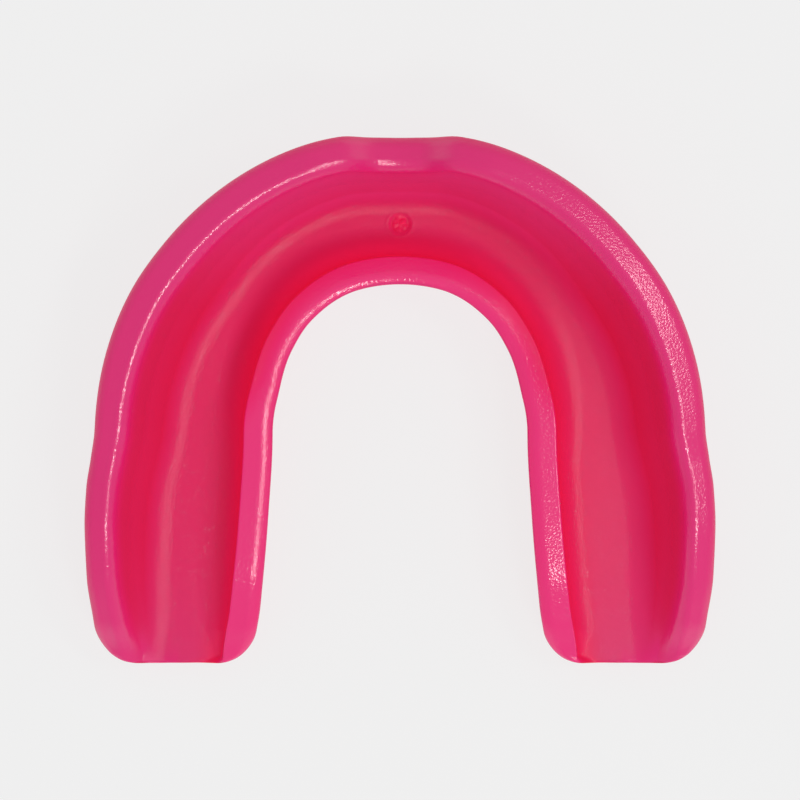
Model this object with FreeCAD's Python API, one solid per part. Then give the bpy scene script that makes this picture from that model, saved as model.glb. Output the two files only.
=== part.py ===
"""Boil-and-bite mouthguard for the upper teeth: an outer shell with a fitting liner bonded into it.

Frame, in millimetres: the origin is on the underside at the middle of the outline, +Z points up
out of the channel that takes the teeth, -Y is the lip side, and the two arms run back to +Y.
"""
import FreeCAD, Part
import math
import os

os.makedirs("parts", exist_ok=True)

# Plan of the guard. The front is a half ring about the arch centre and the arms run straight back.
WIDTH = 68.4
DEPTH = 57.2
FRONT_RADIUS = 31.82
MIDDLE_RADIUS = 23.5
ARCH_Y = FRONT_RADIUS - DEPTH / 2
ARCH_LENGTH = MIDDLE_RADIUS * math.pi / 2
ARM_LENGTH = DEPTH - FRONT_RADIUS
HALF_LENGTH = ARCH_LENGTH + ARM_LENGTH
OUTER_END_RADIUS = 4.3
INNER_END_RADIUS = 3.7

# Heights.
HEIGHT = 18.0
NOTCH_DEPTH = 4.0
FLOOR_TOP = 3.6
END_OUTER_HEIGHT = 7.0
END_LINGUAL_HEIGHT = 6.5

# Section of the walls.
OUTER_FOOT_INSET = 2.5
INNER_FOOT_INSET = 1.5
BEVEL_DROP = 0.75
CHAMFER_DROP = 1.0
BOTTOM_OUTER_RADIUS = 3.0
BOTTOM_INNER_RADIUS = 1.7
RIM_RADIUS = 0.9
RIDGE_RADIUS = 0.5
WAIST_RADIUS = 9.0
LINGUAL_LEAN = 0.25
LINGUAL_EDGE_DROP = 0.5
LINGUAL_EDGE_RADIUS = 0.45
LINGUAL_CROWN_RADIUS = 2.5
LINGUAL_BORDER_RADIUS = 0.15

# Fitting liner.
LINER_EDGE_THICKNESS = 0.5
LINER_WAIST_THICKNESS = 1.0
LINER_FLOOR_THICKNESS = 1.6
LINER_LINGUAL_THICKNESS = 0.8
LINER_EDGE_DROP = 0.3
STEP_RADIUS = 0.1
CORE_CLEARANCE = 0.6

# Two arcs take at most this share of the length between their corners.
FILLET_ROOM = 0.96

# The moulded bottom is trimmed by this much, which leaves the underside flat.
TRIM = 0.15

# Mark left by the injection gate on the channel floor.
GATE_RADIUS = 1.2
GATE_DEPTH = 0.3
GATE_NUB_RADIUS = 0.45
GATE_FROM_CENTRE = 22.9


def law(*points):
    """A smooth curve through (distance along the arch, value) points, level at both ends."""
    slopes = [0.0]
    for before, here, after in zip(points, points[1:], points[2:]):
        rise_in = (here[1] - before[1]) / (here[0] - before[0])
        rise_out = (after[1] - here[1]) / (after[0] - here[0])
        same_way = rise_in * rise_out > 0
        slopes.append(2 * rise_in * rise_out / (rise_in + rise_out) if same_way else 0.0)
    slopes.append(0.0)

    def value(distance):
        distance = min(max(abs(distance), points[0][0]), points[-1][0])
        for i in range(len(points) - 1):
            (start, low), (end, high) = points[i], points[i + 1]
            if distance <= end:
                break
        span = end - start
        t = (distance - start) / span
        return ((1 + 2 * t) * (1 - t) ** 2 * low + t * (1 - t) ** 2 * span * slopes[i]
                + t * t * (3 - 2 * t) * high - t * t * (1 - t) * span * slopes[i + 1])

    return value


def at_angle(degrees):
    return MIDDLE_RADIUS * math.radians(degrees)


def on_arm(distance):
    return ARCH_LENGTH + distance


# Distances of the two outlines from the arch centre, or from the midline on the arms.
outer_outline = law(
    (0, FRONT_RADIUS), (at_angle(6), 31.95), (at_angle(11.6), 32.35), (at_angle(17), 32.4),
    (at_angle(50), 32.3), (at_angle(62), 32.52), (at_angle(88), 32.92), (on_arm(2.5), 33.4),
    (on_arm(5.7), 33.95), (on_arm(10), WIDTH / 2), (on_arm(15.5), 34.15), (on_arm(20.5), 33.75),
    (HALF_LENGTH, 33.3))
inner_outline = law(
    (0, 16.05), (at_angle(16), 16.08), (at_angle(38), 15.5), (at_angle(52), 14.75),
    (at_angle(75), 13.8), (on_arm(0), 13.8), (on_arm(9), 14.25), (on_arm(18.6), 15.15),
    (HALF_LENGTH, 16.05))

# Heights of the two wall tops: the lip notch at the front and a slight cheek notch on each arm.
outer_top = law(
    (0, HEIGHT - NOTCH_DEPTH), (1.6, HEIGHT - NOTCH_DEPTH + 0.25), (at_angle(17), HEIGHT),
    (at_angle(50), HEIGHT), (at_angle(88), 15.5), (on_arm(3.5), 14.3), (on_arm(9), 14.0),
    (on_arm(15), 12.3), (HALF_LENGTH, END_OUTER_HEIGHT))
lingual_top = law(
    (0, 10.0), (at_angle(50), 10.2), (on_arm(5), 10.8), (on_arm(14), 10.4),
    (HALF_LENGTH, END_LINGUAL_HEIGHT))
lingual_border_drop = law((0, 1.1), (at_angle(50), 0.9), (at_angle(80), 0.3), (on_arm(5), 0.15))

# Places across the section, counted inwards from the outer outline.
ridge_inset = law(
    (0, 2.6), (at_angle(66), 2.8), (on_arm(5), 2.3), (on_arm(20), 2.3), (HALF_LENGTH, 2.6))
border_inset = law(
    (0, 3.9), (at_angle(30), 4.1), (at_angle(50), 4.1), (at_angle(66), 3.8), (on_arm(0), 3.5),
    (on_arm(11), 3.4), (on_arm(20), 3.5), (HALF_LENGTH, 4.0))
foot_inset = law(
    (0, 6.0), (at_angle(30), 6.7), (at_angle(60), 8.2), (on_arm(0), 7.8), (on_arm(12), 7.0),
    (HALF_LENGTH, 6.8))
waist_share = law((0, 0.4), (at_angle(30), 0.4), (at_angle(70), 0.36), (HALF_LENGTH, 0.34))
lingual_rim_width = law((0, 3.1), (on_arm(10), 3.25), (HALF_LENGTH, 3.4))

# Fillets along the two sides of the channel floor.
foot_radius = law((0, 2.8), (at_angle(60), 3.0), (on_arm(8), 3.6), (HALF_LENGTH, 3.6))
lingual_foot_radius = law(
    (0, 4.4), (at_angle(35), 4.6), (at_angle(62), 4.2), (on_arm(0), 3.2), (on_arm(5), 2.8),
    (HALF_LENGTH, 2.5))


def place(distance, r, z):
    """The point at r from the arch centre and height z, in the section at a signed distance."""
    side = -1 if distance < 0 else 1
    along = abs(distance)
    if along <= ARCH_LENGTH:
        angle = along / MIDDLE_RADIUS
        return FreeCAD.Vector(side * r * math.sin(angle), ARCH_Y - r * math.cos(angle), z)
    return FreeCAD.Vector(side * r, ARCH_Y + along - ARCH_LENGTH, z)


def rounded_wire(distance, corners):
    """A closed wire through (r, z, radius) corners, each with an arc of its radius.

    Where two arcs ask for more than the length between their corners, both are scaled down.
    """
    count = len(corners)
    spots = [FreeCAD.Vector(r, z, 0) for r, z, radius in corners]
    ways_on = [(spots[(i + 1) % count] - spots[i]) for i in range(count)]
    halves = [ways_on[i].getAngle(-ways_on[i - 1]) / 2 for i in range(count)]
    reaches = [corner[2] / math.tan(half) for corner, half in zip(corners, halves)]
    shares = [
        min(1.0, FILLET_ROOM * ways_on[i].Length / (reaches[i] + reaches[(i + 1) % count]))
        for i in range(count)]
    stretches = []
    for i in range(count):
        reach = reaches[i] * min(shares[i - 1], shares[i])
        radius = reach * math.tan(halves[i])
        on = FreeCAD.Vector(ways_on[i]).normalize()
        back = FreeCAD.Vector(-ways_on[i - 1]).normalize()
        middle = (on + back).normalize()
        stretches.append((
            spots[i] + back * reach,
            spots[i] + middle * (radius / math.sin(halves[i]) - radius),
            spots[i] + on * reach))
    edges = []
    for i, (start, middle, end) in enumerate(stretches):
        start, middle, end = (place(distance, p.x, p.y) for p in (start, middle, end))
        edges.append(Part.Arc(start, middle, end).toShape())
        following = stretches[(i + 1) % count][0]
        edges.append(Part.LineSegment(end, place(distance, following.x, following.y)).toShape())
    return Part.Wire(edges)


def section_places(distance):
    """The radii and heights that the guard's section and the liner's section share."""
    outer = outer_outline(distance)
    inner = inner_outline(distance)
    top = outer_top(distance)
    border = outer - border_inset(distance)
    foot = outer - foot_inset(distance)
    lingual_border = inner + lingual_rim_width(distance)
    return {
        "outer": outer,
        "inner": inner,
        "top": top,
        "ridge": outer - ridge_inset(distance),
        "border": border,
        "border_top": top - CHAMFER_DROP,
        "waist": border + waist_share(distance) * (foot - border),
        "waist_height": (top - CHAMFER_DROP + FLOOR_TOP) / 2,
        "foot": foot,
        "lingual_foot": lingual_border + LINGUAL_LEAN,
        "lingual_border": lingual_border,
        "lingual_top": lingual_top(distance),
        "lingual_border_top": lingual_top(distance) - lingual_border_drop(distance),
    }


def guard_section(distance):
    p = section_places(distance)
    return rounded_wire(distance, [
        (p["outer"] - OUTER_FOOT_INSET, -TRIM, BOTTOM_OUTER_RADIUS),
        (p["outer"], p["top"] - BEVEL_DROP, RIM_RADIUS),
        (p["ridge"], p["top"], RIDGE_RADIUS),
        (p["border"], p["border_top"], RIDGE_RADIUS),
        (p["waist"], p["waist_height"], WAIST_RADIUS),
        (p["foot"], FLOOR_TOP, foot_radius(distance)),
        (p["lingual_foot"], FLOOR_TOP, lingual_foot_radius(distance)),
        (p["lingual_border"], p["lingual_border_top"], LINGUAL_BORDER_RADIUS),
        ((p["lingual_border"] + p["inner"]) / 2, p["lingual_top"], LINGUAL_CROWN_RADIUS),
        (p["inner"], p["lingual_top"] - LINGUAL_EDGE_DROP, LINGUAL_EDGE_RADIUS),
        (p["inner"] + INNER_FOOT_INSET, -TRIM, BOTTOM_INNER_RADIUS),
    ])


def core_section(distance):
    """The recess that holds the liner, closed across the open channel above it."""
    p = section_places(distance)
    outer_edge = p["border_top"] - LINER_EDGE_DROP
    outer_lean = (p["border"] - p["waist"]) / (p["border_top"] - p["waist_height"])
    outer_face = p["border"] - LINER_EDGE_DROP * outer_lean
    lingual_edge = p["lingual_border_top"] - LINER_EDGE_DROP
    lingual_lean = LINGUAL_LEAN / (p["lingual_border_top"] - FLOOR_TOP)
    lingual_face = p["lingual_border"] + LINER_EDGE_DROP * lingual_lean
    bottom = FLOOR_TOP - LINER_FLOOR_THICKNESS
    return rounded_wire(distance, [
        (outer_face + LINER_EDGE_THICKNESS, outer_edge, STEP_RADIUS),
        (p["waist"] + LINER_WAIST_THICKNESS, p["waist_height"], WAIST_RADIUS),
        (p["foot"] + LINER_FLOOR_THICKNESS, bottom, foot_radius(distance)),
        (p["lingual_foot"] - LINER_LINGUAL_THICKNESS, bottom, lingual_foot_radius(distance)),
        (lingual_face - LINER_EDGE_THICKNESS, lingual_edge, STEP_RADIUS),
        (lingual_face + CORE_CLEARANCE, lingual_edge, STEP_RADIUS),
        (outer_face - CORE_CLEARANCE, outer_edge, STEP_RADIUS),
    ])


def stations():
    """Section places from one arm end to the other, closer together where the outline turns."""
    front = [0, 1.2, 2.4, 3.6, 4.8, 6.0, 7.4, 9.2]
    arch = [12.0 + 3.1 * i for i in range(9)]
    arm = [on_arm(2.2 + (ARM_LENGTH - 2.2) * i / 10) for i in range(11)]
    half = front + arch + arm
    return [-s for s in reversed(half[1:])] + half


def loft(section):
    return Part.makeLoft([section(s) for s in stations()], True, False)


def corner_cutters():
    """Solids that round the four corners of the arm ends in plan."""
    cutters = []
    for side in (-1, 1):
        for outline, radius, inward in (
                (outer_outline, OUTER_END_RADIUS, -side), (inner_outline, INNER_END_RADIUS, side)):
            edge = outline(HALF_LENGTH - radius)
            centre = FreeCAD.Vector(side * edge + inward * radius, ARCH_Y + ARM_LENGTH - radius, -1)
            size = radius + 1
            corner = Part.makeBox(size, size, HEIGHT + 2)
            corner.translate(centre if inward < 0 else centre - FreeCAD.Vector(size, 0, 0))
            post = Part.makeCylinder(radius, HEIGHT + 2, centre, FreeCAD.Vector(0, 0, 1))
            cutters.append(corner.cut(post))
    return cutters


def gate_recess():
    floor_point = FreeCAD.Vector(0, ARCH_Y - GATE_FROM_CENTRE, FLOOR_TOP - GATE_DEPTH)
    up = FreeCAD.Vector(0, 0, 1)
    recess = Part.makeCylinder(GATE_RADIUS, 3, floor_point, up)
    nub = Part.makeCylinder(GATE_NUB_RADIUS, GATE_DEPTH, floor_point, up)
    return recess.cut(nub)


def main():
    below = Part.makeBox(2 * WIDTH, 2 * WIDTH, HEIGHT, FreeCAD.Vector(-WIDTH, -WIDTH, -HEIGHT))
    guard = loft(guard_section).cut(below)
    for cutter in corner_cutters():
        guard = guard.cut(cutter)
    core = loft(core_section)
    outer_shell = guard.cut(core)
    fitting_liner = guard.common(core).cut(gate_recess())
    for name, shape in (("outer_shell", outer_shell), ("fitting_liner", fitting_liner)):
        box = shape.BoundBox
        print(name, "solids", len(shape.Solids), "faces", len(shape.Faces), "valid", shape.isValid(),
              "cm3 %.3f" % (shape.Volume / 1000), box)
        shape.exportStep(os.path.join("parts", name + ".step"))


main()
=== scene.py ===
"""Looks of the boil-and-bite mouthguard: a pink EVA shell and its fitting liner, on a pale floor.

Laws and sections are in millimetres in the part's own frame: +Z up out of the tooth channel, -Y
towards the lips. A section lies across the arch. In it, inset counts inwards from the outer outline.
"""
import math

import bpy
import bmesh
from mathutils import Matrix, Vector
from mathutils.geometry import tessellate_polygon


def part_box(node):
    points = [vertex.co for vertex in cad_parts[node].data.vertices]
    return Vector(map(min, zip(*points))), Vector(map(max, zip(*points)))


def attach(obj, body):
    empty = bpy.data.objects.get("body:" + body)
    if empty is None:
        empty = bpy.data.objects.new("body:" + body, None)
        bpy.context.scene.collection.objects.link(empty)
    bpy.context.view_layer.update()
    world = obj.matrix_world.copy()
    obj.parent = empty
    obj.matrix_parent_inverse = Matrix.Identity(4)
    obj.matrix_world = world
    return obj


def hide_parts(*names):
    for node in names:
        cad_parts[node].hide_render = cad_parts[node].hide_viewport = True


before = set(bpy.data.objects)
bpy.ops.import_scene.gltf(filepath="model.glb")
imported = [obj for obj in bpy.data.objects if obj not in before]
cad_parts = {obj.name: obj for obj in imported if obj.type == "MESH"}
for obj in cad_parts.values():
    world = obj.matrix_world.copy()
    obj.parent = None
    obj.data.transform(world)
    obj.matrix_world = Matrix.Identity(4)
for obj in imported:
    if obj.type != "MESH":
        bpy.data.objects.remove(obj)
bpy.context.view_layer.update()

MM = 0.001

# Driving dimensions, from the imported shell.
shell_low, shell_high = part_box("outer_shell")
BACK_Y = shell_high.y / MM
HEIGHT = (shell_high.z - shell_low.z) / MM

# Plan.
MIDDLE_RADIUS = 23.5
ARCH_LENGTH = MIDDLE_RADIUS * math.pi / 2
ARM_LENGTH = 25.38
ARCH_Y = BACK_Y - ARM_LENGTH
HALF_LENGTH = ARCH_LENGTH + ARM_LENGTH
OUTER_END_RADIUS = 4.3
INNER_END_RADIUS = 3.7

# Heights. The ridge's rounding takes a little off its top.
RIDGE_ROUNDING = 0.085
RIDGE_TOP = HEIGHT + RIDGE_ROUNDING
NOTCH_TOP = RIDGE_TOP - 4.0
FLOOR_TOP = 3.6

# Lip-side wall.
OUTER_FOOT_INSET = 2.5
CHAMFER_DROP = 0.75
BORDER_RADIUS = 1.8
BEND_PLACE = 0.3
BEND_DROP = 0.45
BEND_RADIUS = 1.8
RIM_RADIUS = 1.4
RIM_SHARE = 0.45
WAIST_RADIUS = 9.0
BOTTOM_OUTER_RADIUS = 3.0
LEAST_EDGE_FALL = 0.1

# Palate-side wall.
INNER_FOOT_INSET = 1.5
LINGUAL_LEAN = 0.25
LINGUAL_EDGE_DROP = 0.55
LINGUAL_EDGE_RADIUS = 0.45
LINGUAL_CROWN_PLACE = 0.28
LINGUAL_CROWN_RADIUS = 2.0
LINGUAL_BORDER_RADIUS = 0.2
BOTTOM_INNER_RADIUS = 1.7

# Liner. The joint with the shell runs below the borders of both walls.
JOINT_DROP = 1.2
JOINT_SHARE = 0.45
EDGE_THICKNESS = 0.5
WAIST_THICKNESS = 1.0
FLOOR_THICKNESS = 1.6
LINGUAL_THICKNESS = 0.8
STEP_RADIUS = 0.05
GATE_INSET = 9.0

# Rounded arm ends, with the least widths that the rims and walls keep there.
END_CROWN = 0.3
END_CROWN_REACH = 5
END_ROUND = 0.35
BOTTOM_END_ROUND = 1.5
LEAST_RIM = 0.3
LEAST_FOOT = 3.6
LEAST_LINGUAL_FOOT = 2.2
FULL_RIM = 1.2
FULL_LINGUAL_RIM = 1.6

# Two roundings take at most this share of the length between their corners.
FILLET_ROOM = 0.96


def law(*points):
    """A smooth curve through (distance along the arch, value) points, level at both ends."""
    slopes = [0.0]
    for before, here, after in zip(points, points[1:], points[2:]):
        rise_in = (here[1] - before[1]) / (here[0] - before[0])
        rise_out = (after[1] - here[1]) / (after[0] - here[0])
        same_way = rise_in * rise_out > 0
        slopes.append(2 * rise_in * rise_out / (rise_in + rise_out) if same_way else 0.0)
    slopes.append(0.0)

    def value(distance):
        distance = min(max(abs(distance), points[0][0]), points[-1][0])
        for i in range(len(points) - 1):
            (start, low), (end, high) = points[i], points[i + 1]
            if distance <= end:
                break
        span = end - start
        t = (distance - start) / span
        return ((1 + 2 * t) * (1 - t) ** 2 * low + t * (1 - t) ** 2 * span * slopes[i]
                + t * t * (3 - 2 * t) * high - t * t * (1 - t) * span * slopes[i + 1])

    return value


def at_angle(degrees):
    return MIDDLE_RADIUS * math.radians(degrees)


def on_arm(distance):
    return ARCH_LENGTH + distance


# Distances of the two outlines from the arch centre, or from the midline on the arms.
outer_outline = law(
    (0, 32.2), (at_angle(6), 32.36), (at_angle(11.6), 32.72), (at_angle(17), 32.75),
    (at_angle(50), 32.62), (at_angle(62), 32.8), (at_angle(75), 32.88), (at_angle(88), 32.98),
    (on_arm(2.5), 33.47), (on_arm(5.7), 33.98), (on_arm(10), 34.2), (on_arm(15.5), 34.15),
    (on_arm(20.5), 33.7), (HALF_LENGTH, 33.4))
inner_outline = law(
    (0, 16.28), (at_angle(16), 16.3), (at_angle(38), 15.64), (at_angle(52), 14.85),
    (at_angle(75), 13.83), (on_arm(0), 13.8), (on_arm(9), 14.28), (on_arm(18.6), 15.17),
    (HALF_LENGTH, 16.1))

# Heights of the two wall tops: the lip notch at the front and a slight cheek notch on each arm.
outer_top = law(
    (0, NOTCH_TOP), (1.8, NOTCH_TOP + 0.3), (4.8, RIDGE_TOP - 0.9), (at_angle(20), RIDGE_TOP),
    (at_angle(50), RIDGE_TOP), (at_angle(88), 15.6), (on_arm(3.5), 14.5), (on_arm(9), 14.2),
    (on_arm(15), 12.4), (on_arm(20.5), 9.2), (HALF_LENGTH, 5.7))
lingual_top = law(
    (0, 10.0), (at_angle(50), 10.2), (on_arm(5), 10.8), (on_arm(14), 10.2), (on_arm(20.5), 8.0),
    (HALF_LENGTH, 5.3))

# Falls from the wall tops: over the bevel outside the ridge, and over the palate-side rim.
bevel_drop = law((0, 1.7), (at_angle(12), 1.8), (at_angle(30), 1.4))
lingual_border_drop = law((0, 1.4), (at_angle(40), 0.6), (at_angle(62), 0.1), (at_angle(80), 0.03))

# Places across the section.
ridge_inset = law(
    (0, 3.0), (at_angle(40), 3.1), (at_angle(66), 3.2), (on_arm(5), 2.6), (on_arm(20), 2.5),
    (HALF_LENGTH, 2.8))
border_inset = law(
    (0, 3.9), (at_angle(30), 4.1), (at_angle(50), 4.2), (at_angle(66), 4.12), (on_arm(0), 3.8),
    (on_arm(11), 3.4), (on_arm(20), 3.5), (HALF_LENGTH, 4.0))
foot_inset = law(
    (0, 6.0), (at_angle(30), 6.7), (at_angle(60), 7.9), (on_arm(0), 7.7), (on_arm(12), 7.0),
    (HALF_LENGTH, 6.8))
waist_share = law((0, 0.4), (at_angle(30), 0.4), (at_angle(70), 0.36), (HALF_LENGTH, 0.34))
lingual_rim_width = law((0, 3.1), (on_arm(10), 3.25), (HALF_LENGTH, 3.4))

# Roundings of the ridge and along the two sides of the channel floor.
ridge_radius = law((0, 1.3), (at_angle(10), 1.3), (at_angle(25), 0.9))
foot_radius = law((0, 2.8), (at_angle(60), 3.0), (on_arm(8), 3.6), (HALF_LENGTH, 3.6))
lingual_foot_radius = law(
    (0, 4.4), (at_angle(35), 4.6), (at_angle(62), 4.2), (on_arm(0), 3.2), (on_arm(5), 2.8),
    (HALF_LENGTH, 2.5))

# Painted light and shade along the arch: how much the front takes its lighter wall pink and darker floor
# pink, and how much painted shade deepens the palate-side rim inwards.
front_lighting = law((0, 1.0), (at_angle(30), 0.9), (at_angle(62), 0.0))
lingual_shade = law(
    (0, 0.0), (at_angle(40), 1.8), (at_angle(62), 3.0), (at_angle(88), 0.8), (on_arm(5), 0.0))


def corner_inset(from_end, radius):
    """How far a rounded plan corner has drawn the outline in, at a distance from the end plane."""
    if from_end >= radius:
        return 0.0
    return radius - math.sqrt(radius ** 2 - (radius - from_end) ** 2)


def rounded_line(corners, line_steps):
    """Points along a line with rounded corners, given as (x, y, radius, steps round the arc).

    Where two roundings ask for more than the length between their corners, both are scaled down.
    """
    spots = [Vector(corner[:2]) for corner in corners]
    lengths = [(after - before).length for before, after in zip(spots, spots[1:])]
    halves = [0.0]
    reaches = [0.0]
    for before, spot, after, (x, y, radius, steps) in zip(spots, spots[1:], spots[2:], corners[1:]):
        halves.append((before - spot).angle(after - spot) / 2)
        reaches.append(radius / math.tan(halves[-1]))
    reaches.append(0.0)
    shares = [min(1.0, FILLET_ROOM * length / max(a + b, 1e-9))
              for length, a, b in zip(lengths, reaches, reaches[1:])]
    stretches = [[spots[0]]]
    for i in range(1, len(spots) - 1):
        arc_steps = corners[i][3]
        reach = reaches[i] * min(shares[i - 1], shares[i])
        back = (spots[i - 1] - spots[i]).normalized()
        on = (spots[i + 1] - spots[i]).normalized()
        start = spots[i] + back * reach
        end = spots[i] + on * reach
        if halves[i] > math.radians(89.9) or reach < 1e-4:
            stretches.append([start.lerp(end, k / arc_steps) for k in range(arc_steps + 1)])
            continue
        centre = spots[i] + (back + on).normalized() * (reach / math.cos(halves[i]))
        sweep = math.pi - 2 * halves[i]
        turn = 1 if (start - centre).cross(end - centre) > 0 else -1
        stretches.append([
            centre + Matrix.Rotation(turn * sweep * k / arc_steps, 2) @ (start - centre)
            for k in range(arc_steps + 1)])
    stretches.append([spots[-1]])
    points = []
    for i, stretch in enumerate(stretches):
        points += stretch
        if i + 1 < len(stretches):
            following = stretches[i + 1][0]
            points += [stretch[-1].lerp(following, (1 - math.cos(math.pi * k / line_steps)) / 2)
                       for k in range(1, line_steps)]
    return points


def section(distance):
    """The outside, channel and recess lines of the section at a distance along the arch."""
    from_end = HALF_LENGTH - abs(distance)
    outer = outer_outline(distance)
    width = outer - inner_outline(distance)
    edge = corner_inset(from_end, OUTER_END_RADIUS)
    palate = corner_inset(from_end, INNER_END_RADIUS)
    top = outer_top(distance)
    low_top = lingual_top(distance)
    full_ridge = ridge_inset(distance)
    border = max(border_inset(distance), edge + LEAST_RIM)
    ridge = max(full_ridge, edge + (border - edge) / 2)
    ridge_fall = CHAMFER_DROP * max(0.0, ridge - full_ridge) / (border - full_ridge)
    edge_fall = max(bevel_drop(distance) * (1 - edge / full_ridge), LEAST_EDGE_FALL)
    rim_radius = min(RIM_RADIUS, RIM_SHARE * (ridge - edge))
    lingual_rim = max(lingual_rim_width(distance), palate + LEAST_RIM)
    lingual_border = width - lingual_rim
    palate_edge = width - palate
    foot = max(foot_inset(distance), edge + LEAST_FOOT)
    lingual_foot = min(lingual_border - LINGUAL_LEAN, palate_edge - LEAST_LINGUAL_FOOT)

    wall_lean = 2 * waist_share(distance) * (foot - border) / (top - CHAMFER_DROP - FLOOR_TOP)
    joint_drop = min(JOINT_DROP, JOINT_SHARE * (top - CHAMFER_DROP - FLOOR_TOP))
    joint = (border + joint_drop * wall_lean, top - CHAMFER_DROP - joint_drop)
    low_border = low_top - lingual_border_drop(distance)
    lingual_lean = (lingual_border - lingual_foot) / (low_border - FLOOR_TOP)
    lingual_drop = min(JOINT_DROP, JOINT_SHARE * (low_border - FLOOR_TOP))
    lingual_joint = (lingual_border - lingual_drop * lingual_lean, low_border - lingual_drop)
    bend = (edge + BEND_PLACE * (ridge - edge), top - ridge_fall - BEND_DROP * edge_fall)
    crown = (palate_edge - LINGUAL_CROWN_PLACE * (lingual_rim - palate), low_top)
    outside = rounded_line([
        (*joint, 0, 0),
        (border, top - CHAMFER_DROP, BORDER_RADIUS, 8),
        (ridge, top - ridge_fall, ridge_radius(distance), 10),
        (*bend, BEND_RADIUS, 8),
        (edge, top - ridge_fall - edge_fall, rim_radius, 8),
        (edge + OUTER_FOOT_INSET, 0, BOTTOM_OUTER_RADIUS, 6),
        (palate_edge - INNER_FOOT_INSET, 0, BOTTOM_INNER_RADIUS, 6),
        (palate_edge, low_top - LINGUAL_EDGE_DROP, LINGUAL_EDGE_RADIUS, 6),
        (*crown, LINGUAL_CROWN_RADIUS, 6),
        (lingual_border, low_border, LINGUAL_BORDER_RADIUS, 6),
        (*lingual_joint, 0, 0)], 9)
    waist = (
        border + waist_share(distance) * (foot - border), (top - CHAMFER_DROP + FLOOR_TOP) / 2)
    channel = rounded_line([
        (*joint, 0, 0),
        (*waist, WAIST_RADIUS, 10),
        (foot, FLOOR_TOP, foot_radius(distance), 24),
        (lingual_foot, FLOOR_TOP, lingual_foot_radius(distance), 44),
        (*lingual_joint, 0, 0)], 12)
    slim = min((border - edge) / FULL_RIM, 1.0)
    lingual_slim = min((palate_edge - lingual_border) / FULL_LINGUAL_RIM, 1.0)
    bottom = FLOOR_TOP - FLOOR_THICKNESS
    recess = rounded_line([
        (*joint, 0, 0),
        (joint[0] - EDGE_THICKNESS * slim, joint[1], STEP_RADIUS, 2),
        (waist[0] - WAIST_THICKNESS * slim, waist[1], WAIST_RADIUS, 4),
        (foot - FLOOR_THICKNESS, bottom, foot_radius(distance), 6),
        (lingual_foot + LINGUAL_THICKNESS * lingual_slim, bottom, lingual_foot_radius(distance), 6),
        (lingual_joint[0] + EDGE_THICKNESS * lingual_slim, lingual_joint[1], STEP_RADIUS, 2),
        (*lingual_joint, 0, 0)], 6)

    def in_frame(point):
        inset, z = point
        middle = FLOOR_TOP / 2
        if z > middle:
            z = max(middle, z - corner_inset(from_end, END_ROUND))
        else:
            z = min(middle, z + corner_inset(from_end, BOTTOM_END_ROUND))
        r = outer - inset
        bulge = END_CROWN * (2 * inset / width - 1) ** 2 * max(0.0, 1 - from_end / END_CROWN_REACH)
        side = -1 if distance < 0 else 1
        along = abs(distance)
        if along <= ARCH_LENGTH:
            angle = along / MIDDLE_RADIUS
            return Vector((side * r * math.sin(angle), ARCH_Y - r * math.cos(angle), z)) * MM
        return Vector((side * r, ARCH_Y + along - ARCH_LENGTH - bulge, z)) * MM

    marked = []
    for inset, z in channel:
        across = (outer - inset) * math.sin(distance / MIDDLE_RADIUS)
        marked.append((inset, z + gate_mark(across, inset - GATE_INSET)))
    middle_inset = (border + lingual_border) / 2
    ridge_top = top - ridge_fall

    # Depth below the rim tops, which sets the painted shade: the darker outer edge of the bevel, the
    # deeper red down into the channel, and on the palate-side rim a painted shade that deepens towards
    # the channel.
    def depth(point):
        inset, z = point
        if inset < ridge:
            return z - ridge_top
        if inset > palate_edge - 0.3:
            return z - low_top
        if inset < middle_inset:
            return ridge_top - z
        across = min((palate_edge - 0.3 - inset) / (lingual_rim - palate - 0.3), 1.0)
        return lingual_shade(distance) * across + (2.2 - 1.2 * front_lighting(distance)) * (low_top - z)

    # Share of painted glow and painted deeper red: on the palate-side wall and floor of the channel, and
    # in the gate's pit.
    def glow(point, lowest):
        inset, z = point
        if z < lowest or inset > palate_edge - 0.2:
            return 0.0
        gate = math.hypot((outer - inset) * math.sin(distance / MIDDLE_RADIUS), inset - GATE_INSET)
        share = 0.75 + 0.25 * front_lighting(distance)
        wall = share * min(max((inset - lingual_foot + 3.0) / 3.0, 0.0), 1.0)
        return max(wall, 0.6 * math.exp(-(gate / 1.05) ** 4))

    lines = [[in_frame(p) for p in line] for line in (outside, marked, recess)]
    depths = [[depth(p) for p in line] for line in (outside, channel, recess)]
    glows = [[glow(p, low_border - 1.0) for p in outside], [glow(p, FLOOR_TOP - 0.1) for p in channel],
             [0.0] * len(recess)]
    return lines, depths, glows


def gate_mark(across, along):
    """Height of the injection gate's scar over the channel floor, round its middle."""
    away = math.hypot(across, along)
    if away > 2.0:
        return 0.0
    way = math.atan2(along, across)
    lip = 0.06 * math.exp(-((away - 1.38) / 0.16) ** 2)
    groove = -0.45 * (0.6 + 0.4 * math.cos(2 * way)) * math.exp(-((away - 0.95) / 0.2) ** 2)
    pit = -0.25 * math.exp(-(away / 0.85) ** 4)
    stub = 0.4 * math.exp(-(((across + 0.2) / 0.25) ** 2 + ((along + 0.3) / 0.2) ** 2))
    stub += 0.12 * math.sin(5 * way + 1) * math.exp(-((away - 0.5) / 0.25) ** 2)
    return lip + groove + pit + stub


def stations():
    """Distances of the sections, closest round the gate mark and the arm ends' corners."""
    half = [0.15 * k for k in range(14)]
    reach = half[-1]
    straight = HALF_LENGTH - OUTER_END_RADIUS - reach
    count = round(straight / 0.42)
    half += [reach + straight * k / count for k in range(1, count)]
    turns = 30
    half += [HALF_LENGTH - OUTER_END_RADIUS * (1 - math.cos(math.pi / 2 * (1 - k / turns)))
             for k in range(turns + 1)]
    return [-s for s in reversed(half[1:])] + half


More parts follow.
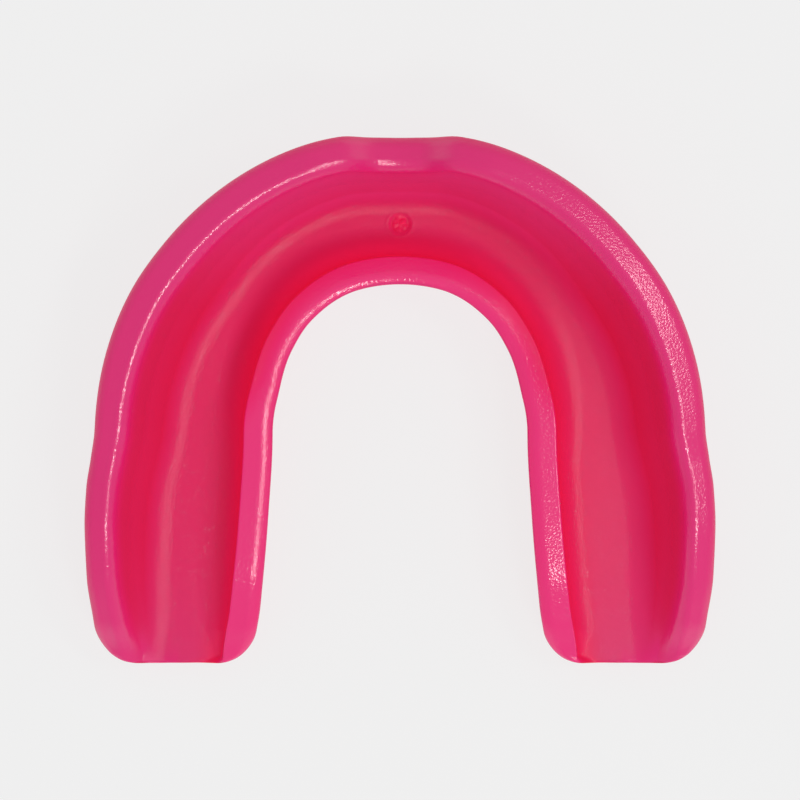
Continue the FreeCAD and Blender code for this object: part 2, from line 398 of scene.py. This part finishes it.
def skin(name, rings, depths, glows, joints):
    """A closed mesh through rings of equal point counts, with a flat cap at each end.

    The edges along the numbered points of the rings, and round the caps, stay sharp. The depths
    below the rims, the painted glow and the nearness to the front go with the points, for the painted
    light and shade in the colours.
    """
    bm = bmesh.new()
    grid = [[bm.verts.new(p) for p in ring] for ring in rings]
    count = len(rings[0])
    for near, far in zip(grid, grid[1:]):
        for i in range(count):
            j = (i + 1) % count
            bm.faces.new((near[i], near[j], far[j], far[i])).smooth = True
    for end in (grid[0], grid[-1]):
        flat = [Vector((vert.co.x, vert.co.z, 0)) for vert in end]
        for triangle in tessellate_polygon([flat]):
            bm.faces.new([end[i] for i in triangle])
        for i in range(count):
            bm.edges.get((end[i - 1], end[i])).smooth = False
    for near, far in zip(grid, grid[1:]):
        for i in joints:
            bm.edges.get((near[i], far[i])).smooth = False
    bmesh.ops.recalc_face_normals(bm, faces=bm.faces)
    mesh = bpy.data.meshes.new(name)
    bm.to_mesh(mesh)
    bm.free()
    fronts = [front_lighting(s) for s in stations()]
    fronts = [[front] * count for front in fronts]
    for attribute, values in (("depth", depths), ("glow", glows), ("front", fronts)):
        mesh.attributes.new(attribute, "FLOAT", "POINT").data.foreach_set(
            "value", [value for ring in values for value in ring])
    piece = bpy.data.objects.new(name, mesh)
    bpy.context.scene.collection.objects.link(piece)
    return piece


# Colours: one pink EVA. RIM_PINK is its own colour on the open rim tops; the other pinks are painted
# light and shade, and GLOW is a painted glow.
RIM_PINK = (0.98, 0.018, 0.222)
# Painted shade on the steep outer edge of the bevel.
EDGE_SHADE_PINK = (0.88, 0.014, 0.150)
# Painted shade in the channel, lighter on the floor than down the walls; at the front the floor is
# painted darker and the walls painted lighter.
FLOOR_SHADE_PINK = (0.93, 0.030, 0.190)
FRONT_FLOOR_SHADE_PINK = (0.88, 0.024, 0.170)
WALL_SHADE_PINK = (0.93, 0.024, 0.142)
FRONT_WALL_LIT_PINK = (0.98, 0.052, 0.280)
# Painted deeper red on the palate side of the channel and in the gate's pit.
LINGUAL_SHADE_PINK = (0.96, 0.015, 0.110)
# Painted red glow where the palate side and the gate's pit are painted deeper red.
GLOW = (0.10, 0.002, 0.012)


def eva(name):
    """Pink EVA with a mould grain, with painted shade and glow: deeper red down the steep walls and into
    the channel, a darker outer edge and a red glow on the palate side.
    """
    material = bpy.data.materials.new(name)
    material.use_nodes = True
    nodes, links = material.node_tree.nodes, material.node_tree.links
    shader = nodes["Principled BSDF"]
    shader.inputs["Roughness"].default_value = 0.5
    shader.inputs["Specular IOR Level"].default_value = 0.1
    shader.inputs["Coat IOR"].default_value = 1.5

    def attribute(name):
        node = nodes.new("ShaderNodeAttribute")
        node.attribute_name = name
        return node.outputs["Fac"]

    def ramp(source, low, high, start=0.0, end=1.0, course="SMOOTHSTEP"):
        node = nodes.new("ShaderNodeMapRange")
        node.interpolation_type = course
        for socket, value in (("From Min", low), ("From Max", high), ("To Min", start), ("To Max", end)):
            node.inputs[socket].default_value = value
        links.new(source, node.inputs["Value"])
        return node.outputs["Result"]

    def blend(factor, first, second):
        node = nodes.new("ShaderNodeMix")
        node.data_type = "RGBA"
        links.new(factor, node.inputs["Factor"])
        for socket, colour in (("A", first), ("B", second)):
            if isinstance(colour, tuple):
                node.inputs[socket].default_value = (*colour, 1)
            else:
                links.new(colour, node.inputs[socket])
        return node.outputs["Result"]

    facing = nodes.new("ShaderNodeSeparateXYZ")
    links.new(nodes.new("ShaderNodeNewGeometry").outputs["Normal"], facing.inputs["Vector"])
    # Painted shade in the channel: steep walls take the darker wall pink, floors facing up the lighter
    # floor pink, with the front's painted light and shade blended in.
    wall = blend(attribute("front"), WALL_SHADE_PINK, FRONT_WALL_LIT_PINK)
    low = blend(attribute("front"), FLOOR_SHADE_PINK, FRONT_FLOOR_SHADE_PINK)
    channel = blend(ramp(facing.outputs["Z"], 0.4, 0.95), wall, low)
    # Painted deeper red on the palate side and in the gate's pit.
    channel = blend(attribute("glow"), channel, LINGUAL_SHADE_PINK)
    # Painted shade on the steep outer edge of the bevel.
    rim = blend(ramp(attribute("depth"), -1.6, -0.4), EDGE_SHADE_PINK, RIM_PINK)
    # Painted shade: deeper red the further down into the channel.
    colour = blend(ramp(attribute("depth"), 0.2, 3.6), rim, channel)
    links.new(colour, shader.inputs["Base Color"])
    # Painted red glow, emitted on the palate side and in the gate's pit.
    light_through = blend(ramp(attribute("glow"), 0.1, 0.9), (0.0, 0.0, 0.0), GLOW)
    links.new(light_through, shader.inputs["Emission Color"])
    shader.inputs["Emission Strength"].default_value = 1.0

    away = nodes.new("ShaderNodeMath")
    away.operation = "ABSOLUTE"
    links.new(attribute("depth"), away.inputs[0])
    for socket, on_rim, in_channel in (("Coat Weight", 1.0, 0.22), ("Coat Roughness", 0.2, 0.1)):
        coat = ramp(away.outputs["Value"], 0.7, 1.8, on_rim, in_channel, "LINEAR")
        links.new(coat, shader.inputs[socket])

    grain = nodes.new("ShaderNodeTexNoise")
    grain.inputs["Scale"].default_value = 3900
    grain.inputs["Detail"].default_value = 1.0
    links.new(nodes.new("ShaderNodeTexCoord").outputs["Object"], grain.inputs["Vector"])
    bump = nodes.new("ShaderNodeBump")
    links.new(ramp(attribute("depth"), 0.5, 3.0, 0.5, 1.0, "LINEAR"), bump.inputs["Strength"])
    bump.inputs["Distance"].default_value = 0.0001
    links.new(grain.outputs["Fac"], bump.inputs["Height"])
    links.new(bump.outputs["Normal"], shader.inputs["Coat Normal"])
    return material


profiles = [section(s) for s in stations()]


def piece_skin(name, first):
    """The mesh between one line of every section and the recess line."""
    rings, depths, glows = (
        [profile[kind][first] + profile[kind][2][-2:0:-1] for profile in profiles]
        for kind in range(3))
    return skin(name, rings, depths, glows, (0, len(profiles[0][0][first]) - 1))


shell = piece_skin("shell", 0)
liner = piece_skin("liner", 1)
shell.data.materials.append(eva("shell_eva"))
liner.data.materials.append(eva("liner_eva"))
for piece, node, slot in ((shell, "outer_shell", "shell_eva"), (liner, "fitting_liner", "liner_eva")):
    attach(piece, "root")
    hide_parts(node)

# Floor.
mesh = bpy.data.meshes.new("floor")
reach = 2.5
mesh.from_pydata([(-reach, -reach, 0), (reach, -reach, 0), (reach, reach, 0), (-reach, reach, 0)], [],
                 [(0, 1, 2, 3)])
floor = bpy.data.objects.new("floor", mesh)
bpy.context.scene.collection.objects.link(floor)
material = bpy.data.materials.new("floor_paper")
material.use_nodes = True
shader = material.node_tree.nodes["Principled BSDF"]
shader.inputs["Base Color"].default_value = (0.12, 0.12, 0.12, 1)
shader.inputs["Roughness"].default_value = 0.9
shader.inputs["Specular IOR Level"].default_value = 0.0
shader.inputs["Emission Color"].default_value = (1, 1, 1, 1)
shader.inputs["Emission Strength"].default_value = 0.78
mesh.materials.append(material)

# Light.
world = bpy.data.worlds.new("studio")
bpy.context.scene.world = world
world.use_nodes = True
world.node_tree.nodes["Background"].inputs["Color"].default_value = (1, 1, 1, 1)
world.node_tree.nodes["Background"].inputs["Strength"].default_value = 0.54


def softbox(name, place, size, radiance, glint_only=False):
    light = bpy.data.lights.new(name, "AREA")
    light.shape = "SQUARE"
    light.size = size
    light.energy = radiance * math.pi * size ** 2
    lamp = bpy.data.objects.new(name, light)
    lamp.location = place
    lamp.rotation_mode = "QUATERNION"
    lamp.rotation_quaternion = (-Vector(place)).to_track_quat("-Z", "Y")
    lamp.visible_diffuse = not glint_only
    bpy.context.scene.collection.objects.link(lamp)


softbox("right key", (-0.246, -0.043, 0.433), 0.09, 8)
softbox("near key", (-0.13, 0.225, 0.43), 0.09, 12)
softbox("right glint", (-0.23, -0.09, 0.44), 0.15, 7, glint_only=True)
softbox("side glint", (-0.245, 0.05, 0.44), 0.12, 7, glint_only=True)
softbox("near glint", (-0.13, 0.215, 0.43), 0.06, 50, glint_only=True)

bpy.context.scene.view_settings.view_transform = "Standard"

# Camera, straight above with the lip side up in the picture.
camera = bpy.data.cameras.new("camera")
camera.sensor_width = 36
camera.lens = 153.1
view = bpy.data.objects.new("camera", camera)
view.location = (0, ARCH_Y * MM - 0.00372, 0.38)
view.rotation_euler = (0, 0, math.pi)
bpy.context.scene.collection.objects.link(view)
bpy.context.scene.camera = view
